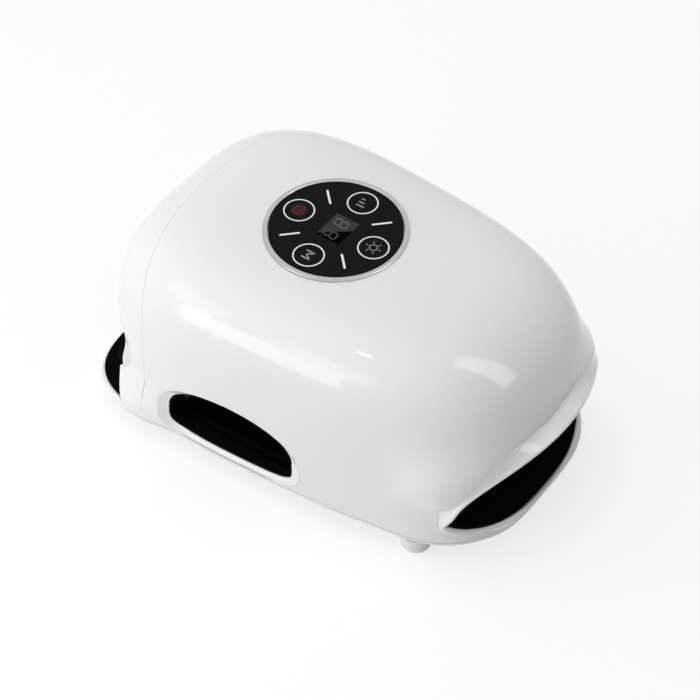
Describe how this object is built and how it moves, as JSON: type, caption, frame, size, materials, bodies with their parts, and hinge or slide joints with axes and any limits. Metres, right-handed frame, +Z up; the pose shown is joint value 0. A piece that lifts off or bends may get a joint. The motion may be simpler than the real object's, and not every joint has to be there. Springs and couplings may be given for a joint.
{
  "type": "hand massager",
  "caption": "Glossy white dome hand massager, open at the wrist and finger ends, with side thumb slots and a round black touch panel on top.",
  "frame": {"origin": "centre of the footprint, on the table", "axes": "+Z up, +Y towards the finger end, +X to the user's right"},
  "size_m": [0.1466, 0.2178, 0.1054],
  "materials": {
    "shell": "high gloss off-white moulding",
    "trim": "gloss off-white moulding",
    "foot_rubber": "matt pale rubber",
    "bezel": "satin silver ring",
    "lens": "black gloss lens, printed from behind",
    "lining_cloth": "matt black cloth",
    "cuff_rubber": "matt black soft rubber",
    "inner_plastic": "matt black moulding",
    "white_plastic": "matt white moulding",
    "steel": "bare steel",
    "board": "green circuit board",
    "cell_sleeve": "blue shrink sleeve",
    "bag_rubber": "grey rubber",
    "film": "amber film"
  },
  "bodies": {
    "housing": {"top_cover": "shell", "wrist_collar": "shell", "finger_collar": "shell", "bottom_cover": "trim", "thumb_trim_right": "trim", "thumb_trim_left": "trim", "thumb_sleeve_right": "cuff_rubber", "thumb_sleeve_left": "cuff_rubber", "foot_1": "foot_rubber", "foot_2": "foot_rubber", "foot_3": "foot_rubber", "foot_4": "foot_rubber", "case_screw_1": "steel", "case_screw_2": "steel", "case_screw_3": "steel", "case_screw_4": "steel", "panel_bezel": "bezel", "panel_lens": "lens", "touch_board": "board", "display_module": "white_plastic", "touch_spring_1": "steel", "touch_spring_2": "steel", "touch_spring_3": "steel", "touch_spring_4": "steel", "inner_frame": "inner_plastic", "cover_screw_1": "steel", "cover_screw_2": "steel", "cover_screw_3": "steel", "cover_screw_4": "steel", "wrist_lining": "cuff_rubber", "finger_lining": "cuff_rubber", "massage_plate": "inner_plastic", "floor_lining": "lining_cloth", "upper_air_bag": "bag_rubber", "battery_cell_1": "cell_sleeve", "battery_cell_2": "cell_sleeve", "battery_holder": "inner_plastic", "main_board": "board", "pump_motor": "steel", "pump_head": "white_plastic", "pump_cradle": "bag_rubber", "valve_body_1": "white_plastic", "valve_body_2": "white_plastic", "air_manifold": "white_plastic", "air_tube": "bag_rubber", "charging_socket": "steel", "charging_board": "board"},
    "press_pad": {"press_plate": "white_plastic", "heating_film": "film", "upper_cushion": "lining_cloth"},
    "pump_crank": {"pump_crank": "steel"},
    "valve_1": {"valve_plunger_1": "steel"},
    "valve_2": {"valve_plunger_2": "steel"}
  },
  "joints": [
    {"name": "pad_press", "type": "slide", "parent": "housing", "child": "press_pad", "axis": [0, 0, -1], "range_m": [0, 0.008], "stiffness_N_per_m": 600, "springref_m": -0.006, "deforming": ["upper_air_bag"]},
    {"name": "pump_turn", "type": "hinge", "parent": "housing", "child": "pump_crank", "pos_m": [-0.03, 0.03705, 0.0844], "axis": [0, 1, 0], "continuous": true},
    {"name": "valve_1_lift", "type": "slide", "parent": "housing", "child": "valve_1", "axis": [0, 0, 1], "range_m": [0, 0.0012], "stiffness_N_per_m": 100, "springref_m": -0.001},
    {"name": "valve_2_lift", "type": "slide", "parent": "housing", "child": "valve_2", "axis": [0, 0, 1], "range_m": [0, 0.0012], "stiffness_N_per_m": 100, "springref_m": -0.001}
  ]
}
